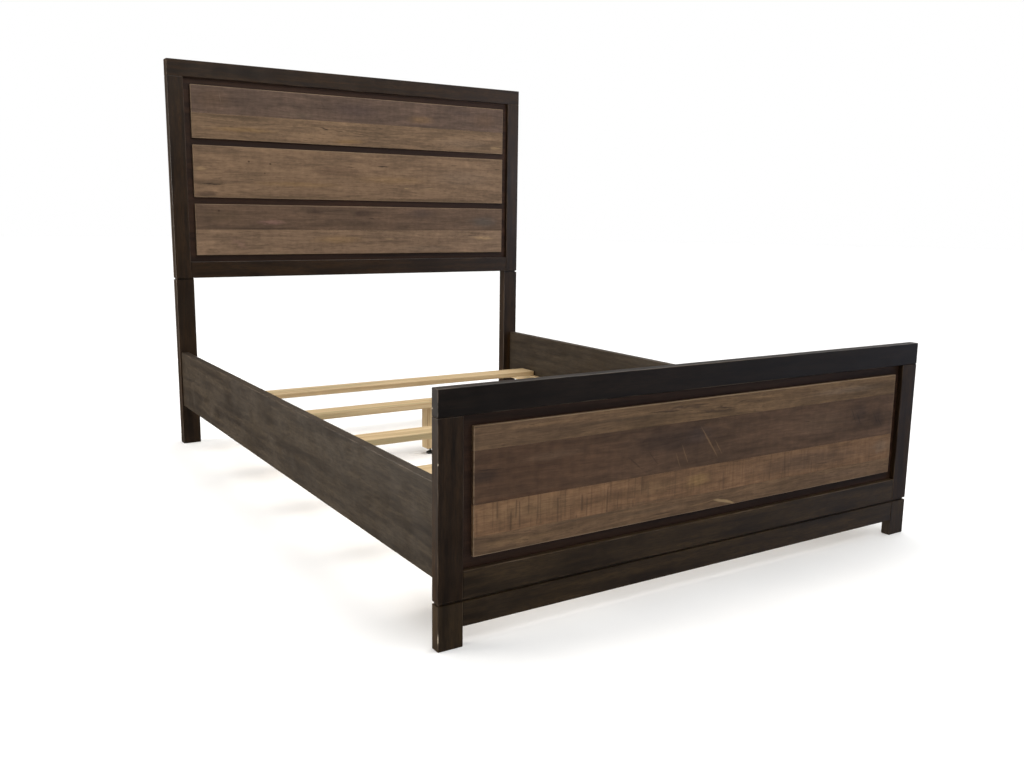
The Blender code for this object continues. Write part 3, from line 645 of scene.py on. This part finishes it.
def cross_screw(shape, place, way, turn):
    """A countersunk head let into the wood, with its rounded rim and its cross recess."""
    rings = ((HEAD_RADIUS * HEAD_RIM, HEAD_PROUD), (HEAD_RADIUS, 0.0), (ROD_RADIUS, -HEAD_DEPTH))
    angles = [math.tau * side / HEAD_SIDES for side in range(HEAD_SIDES)]
    loops = [[shape.verts.new((radius * math.cos(a), radius * math.sin(a), z)) for a in angles]
             for radius, z in rings]
    outline = []
    for quarter in range(4):
        for x, y in ((CROSS_HALF, CROSS_HALF), (CROSS_HALF, CROSS_REACH), (-CROSS_HALF, CROSS_REACH)):
            spot = Matrix.Rotation(quarter * math.pi / 2, 3, "Z") @ Vector((x, y, 0))
            outline.append(spot)
    for narrowing, z in ((1.0, HEAD_PROUD), (CROSS_NARROWING, HEAD_PROUD - CROSS_DEPTH)):
        loops.append([shape.verts.new((spot.x * narrowing, spot.y * narrowing, z)) for spot in outline])
    rim, edge, rod, mouth, pit = loops
    for first, second in ((edge, rim), (rod, edge), (mouth, pit)):
        for k in range(len(first)):
            nearby = (k + 1) % len(first)
            shape.faces.new((first[k], first[nearby], second[nearby], second[k]))
    shape.faces.new(pit)
    shape.faces.new(list(reversed(rod)))
    borders = [shape.edges.get((loop[k - 1], loop[k])) for loop in (rim, mouth) for k in range(len(loop))]
    bmesh.ops.triangle_fill(shape, use_beauty=True, edges=borders)
    verts = [vert for loop in loops for vert in loop]
    turned = way.to_track_quat("Z", "Y").to_matrix().to_4x4() @ Matrix.Rotation(turn, 4, "Z")
    bmesh.ops.transform(shape, matrix=Matrix.Translation(place) @ turned, verts=verts)


def screw_group(name, places, way):
    shape = bmesh.new()
    for order, place in enumerate(places):
        cross_screw(shape, Vector(place), way, order * SCREW_TURN)
    bmesh.ops.recalc_face_normals(shape, faces=shape.faces)
    hardware_piece(name, shape, "bed", zinc)


def hardware_piece(name, shape, body, material):
    mesh = bpy.data.meshes.new(name)
    shape.to_mesh(mesh)
    shape.free()
    mesh.shade_smooth()
    mesh.set_sharp_from_angle(angle=math.radians(35))
    mesh.materials.append(material)
    piece = put(name, mesh, body)
    return piece


def all_screws():
    """Screws of the slat cleats, and those that hold the boards of both panels from behind."""
    for side, sign in SIDES:
        low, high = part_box("slat_cleat_" + side)
        inner = low.x if sign > 0 else high.x
        middle = (low.z + high.z) / 2
        run = high.y - low.y - 2 * CLEAT_END
        spread = [low.y + CLEAT_END + run * step / (CLEAT_SCREWS - 1) for step in range(CLEAT_SCREWS)]
        screw_group("cleat_screws_" + side, [(inner, y, middle) for y in spread], Vector((-sign, 0, 0)))
    for panel in ("footboard", "headboard"):
        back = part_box(panel + "_backing")[1].y
        boards = [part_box(node) for node in BOARDS if node.startswith(panel)]
        rows = [(low.z + high.z) / 2 for low, high in boards]
        columns = [boards[0][1].x * share for share in BACK_SCREWS]
        places = [(x, back, z) for z in rows for x in columns]
        screw_group(panel + "_back_screws", places, Vector((0, 1, 0)))


THREAD_PITCH = 1.25 * MM
THREAD_DEPTH = 0.6 * MM
THREAD_SIDES = 24
THREAD_STEPS = 6                        # rings of the mesh in one turn of the thread
STEM_RADIUS = 3.8 * MM
COLLAR_RADIUS = 6.5 * MM
COLLAR_TOP = 11 * MM
COLLAR_BEVEL = 0.5 * MM
COLLAR_SINK = 0.2 * MM                  # how far the collar goes into the pad
PAD_SIDES = 48
STEM_SINK = 0.5 * MM                    # the stem starts that far inside the collar
STEM_LEAD = 0.8 * MM                    # chamfer at the top of the stem
CREST_SLOPE = 2.6                       # of the thread's flanks: with it the crest is flat for a bit
PAD = ((0.0, 0.6), (9.0, 0.6), (10.5, 0.0), (12.6, 0.0), (13.6, 0.4), (14.0, 1.4), (14.0, 5.2), (13.5, 6.2),
       (12.5, 6.7), (9.5, 7.0), (0.0, 7.0))     # half section of the pad, radius and height in millimetres


def leveler(number):
    """Nylon pad with its hexagonal collar, and the threaded steel stem that goes up into the leg."""
    node = f"leveler_{number}"
    low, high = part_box(node)
    axis = (low + high) / 2
    axis.z = low.z
    shape = bmesh.new()
    section = [shape.verts.new((radius * MM, 0, height * MM)) for radius, height in PAD]
    edges = [shape.edges.new(pair) for pair in zip(section, section[1:])]
    bmesh.ops.spin(shape, geom=section + edges, cent=(0, 0, 0), axis=(0, 0, 1), angle=math.tau,
                   steps=PAD_SIDES, use_merge=True)
    bmesh.ops.remove_doubles(shape, verts=shape.verts, dist=0.01 * MM)
    pad_edges = set(shape.edges)
    pad_top = PAD[-1][1] * MM
    collar_bottom = pad_top - COLLAR_SINK
    collar = Matrix.Translation((0, 0, (collar_bottom + COLLAR_TOP) / 2))
    bmesh.ops.create_cone(shape, cap_ends=True, segments=6, radius1=COLLAR_RADIUS, radius2=COLLAR_RADIUS,
                          depth=COLLAR_TOP - collar_bottom, matrix=collar)
    collar_edges = [edge for edge in shape.edges if edge not in pad_edges]
    bmesh.ops.bevel(shape, geom=collar_edges, offset=COLLAR_BEVEL, offset_type="OFFSET", affect="EDGES",
                    segments=3, profile=0.5, material=-1)
    bmesh.ops.recalc_face_normals(shape, faces=shape.faces)
    bmesh.ops.translate(shape, vec=axis, verts=shape.verts)
    pad = hardware_piece(node + "_pad", shape, node, nylon)
    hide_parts(node)

    shape = bmesh.new()
    bottom, top = COLLAR_TOP - STEM_SINK, high.z - low.z
    rings = []
    for step in range(int((top - bottom) / THREAD_PITCH * THREAD_STEPS) + 1):
        z = bottom + step * THREAD_PITCH / THREAD_STEPS
        ring = []
        for side in range(THREAD_SIDES):
            phase = (step / THREAD_STEPS - side / THREAD_SIDES) % 1.0
            crest = min(1.0, CREST_SLOPE * abs(phase - 0.5))
            radius = STEM_RADIUS - THREAD_DEPTH * (1 - crest) - max(0.0, z - top + STEM_LEAD)
            angle = math.tau * side / THREAD_SIDES
            ring.append(shape.verts.new((radius * math.cos(angle), radius * math.sin(angle), z)))
        rings.append(ring)
    for under, over in zip(rings, rings[1:]):
        for side in range(THREAD_SIDES):
            after = (side + 1) % THREAD_SIDES
            shape.faces.new((under[side], under[after], over[after], over[side]))
    shape.faces.new(list(reversed(rings[0])))
    shape.faces.new(rings[-1])
    bmesh.ops.translate(shape, vec=axis, verts=shape.verts)
    hardware_piece(node + "_stem", shape, node, zinc)


# ---------------------------------------------------------------- studio

CAMERA_PLACE = Vector((-1.5721, -2.6043, 0.8618))
CAMERA_YAW = 0.5676                     # from straight at the headboard, towards the right
CAMERA_PITCH = -0.1750
CAMERA_ROLL = 0.0137
CAMERA_LENS = 33.47
FLOOR_RADIUS = 30
VIEW_DEPTH = 2 * FLOOR_RADIUS


def camera():
    forward = Vector((math.sin(CAMERA_YAW) * math.cos(CAMERA_PITCH),
                      math.cos(CAMERA_YAW) * math.cos(CAMERA_PITCH), math.sin(CAMERA_PITCH)))
    right = Vector((math.cos(CAMERA_YAW), -math.sin(CAMERA_YAW), 0))
    upright = Matrix((right, right.cross(forward), -forward)).transposed()
    rolled = upright @ Matrix.Rotation(CAMERA_ROLL, 3, "Z")
    data = bpy.data.cameras.new("camera")
    data.lens = CAMERA_LENS
    data.sensor_width = 36
    data.clip_end = VIEW_DEPTH
    viewer = bpy.data.objects.new("camera", data)
    viewer.matrix_world = Matrix.Translation(CAMERA_PLACE) @ rolled.to_4x4()
    bpy.context.scene.collection.objects.link(viewer)
    bpy.context.scene.camera = viewer


def softbox(name, place, target, width, height, power, colour):
    data = bpy.data.lights.new(name, "AREA")
    data.shape = "RECTANGLE"
    data.size = width
    data.size_y = height
    data.energy = power
    data.color = linear(colour)[:3]
    lamp = bpy.data.objects.new(name, data)
    lamp.location = place
    lamp.rotation_euler = (Vector(target) - Vector(place)).to_track_quat("-Z", "Y").to_euler()
    bpy.context.scene.collection.objects.link(lamp)
    lamp.visible_camera = False


def floor():
    shape = bmesh.new()
    bmesh.ops.create_circle(shape, cap_ends=True, radius=FLOOR_RADIUS, segments=64)
    mesh = bpy.data.meshes.new("floor")
    shape.to_mesh(mesh)
    shape.free()
    material, tree, place = new_finish("painted studio floor")
    speck = add(tree, "TexNoise", {"Vector": place, "Scale": 3.0, "Detail": 2.0})
    colour = coat(tree, linear("F3F4F5"), linear("F6F7F8"), speck, 0.3, 0.7)
    close_finish(tree, colour, speck, 0.86, 0.94, speck, 0.01 * MM, Specular_IOR_Level=0.0)
    mesh.materials.append(material)
    ground = bpy.data.objects.new("floor", mesh)
    bpy.context.scene.collection.objects.link(ground)
    ground.visible_glossy = False


# Sky of the studio: what the bed's satin film reflects. Dim below, brighter above, and a cool window low on
# the right, which veils the right-hand ends of the two boards. The eye sees plain white behind the bed.
SKY_LOW = 0.03
SKY_HIGH = 0.20
WINDOW_SIDE = Vector((0.86, -0.50, -0.05)).normalized()
WINDOW_RIM = 0.88                       # cosine of the angle from the window's middle to where it fades out
WINDOW_FULL = 1.0
WINDOW_STRENGTH = 0.5


def world():
    sky = bpy.data.worlds.new("studio")
    sky.use_nodes = True
    tree = sky.node_tree
    tree.nodes.clear()
    seen = add(tree, "LightPath", out="Is Camera Ray")
    way = add(tree, "TexCoord", out="Generated")
    rise = add(tree, "SeparateXYZ", {"Vector": way}, out="Z")
    glow = add(tree, "MapRange", {"Value": rise, "From Min": -0.15, "From Max": 0.6,
                                  "To Min": SKY_LOW, "To Max": SKY_HIGH}, interpolation_type="SMOOTHSTEP")
    toward = add(tree, "VectorMath", {0: way, 1: WINDOW_SIDE}, operation="DOT_PRODUCT", out="Value")
    window = add(tree, "MapRange", {"Value": toward, "From Min": WINDOW_RIM, "From Max": WINDOW_FULL,
                                    "To Max": WINDOW_STRENGTH}, interpolation_type="SMOOTHSTEP")
    fill = add(tree, "Background", {"Color": linear("F2EEE8"), "Strength": glow})
    pane = add(tree, "Background", {"Color": linear("DCE6FF"), "Strength": window})
    both = add(tree, "AddShader", {0: fill, 1: pane})
    white = add(tree, "Background", {"Color": linear("FFFFFF"), "Strength": 1.0})
    shown = add(tree, "MixShader", {0: seen, 1: both, 2: white})
    add(tree, "OutputWorld", {"Surface": shown})
    bpy.context.scene.world = sky
    bpy.context.scene.view_settings.view_transform = "Standard"


def high_light(name, direction, spread, strength, colour):
    """A far, wide soft light: it falls evenly on the whole floor."""
    data = bpy.data.lights.new(name, "SUN")
    data.angle = math.radians(spread)
    data.energy = strength
    data.color = linear(colour)[:3]
    lamp = bpy.data.objects.new(name, data)
    lamp.rotation_euler = Vector(direction).to_track_quat("-Z", "Y").to_euler()
    bpy.context.scene.collection.objects.link(lamp)


# Each softbox: its place, what it looks at, its width and height, its watts and its colour. The left one
# lights the side rail, the headboard's own warms its planks, the skylight brightens the floor in front, and
# the window cools the planks' right-hand ends.
SOFTBOXES = {
    "left softbox": ((-5.0, 1.7, 0.9), (-0.7, 0.3, 0.25), 3.0, 1.6, 270, "FFF9F2"),
    "headboard softbox": ((0.3, -0.35, 2.5), (0.2, 1.0, 0.75), 1.8, 0.9, 16, "FFF4E8"),
    "front skylight": ((0.2, -2.5, 3.0), (0.2, -2.2, 0.0), 2.2, 0.8, 14, "FFFFFF"),
    "right window": ((1.75, -0.55, 1.15), (0.5, 1.0, 1.0), 0.7, 1.0, 4, "E6EEFF"),
}

zinc = zinc_plate()
nylon = black_nylon()
panel_boards()
frame_finishes()
all_screws()
for number in LEGGED_SLATS:
    leveler(number)
floor()
world()
camera()
high_light("overhead light", (-0.20, 0.0, -1.0), 95, 3.4, "FFFEFC")
for name, setting in SOFTBOXES.items():
    softbox(name, *setting)
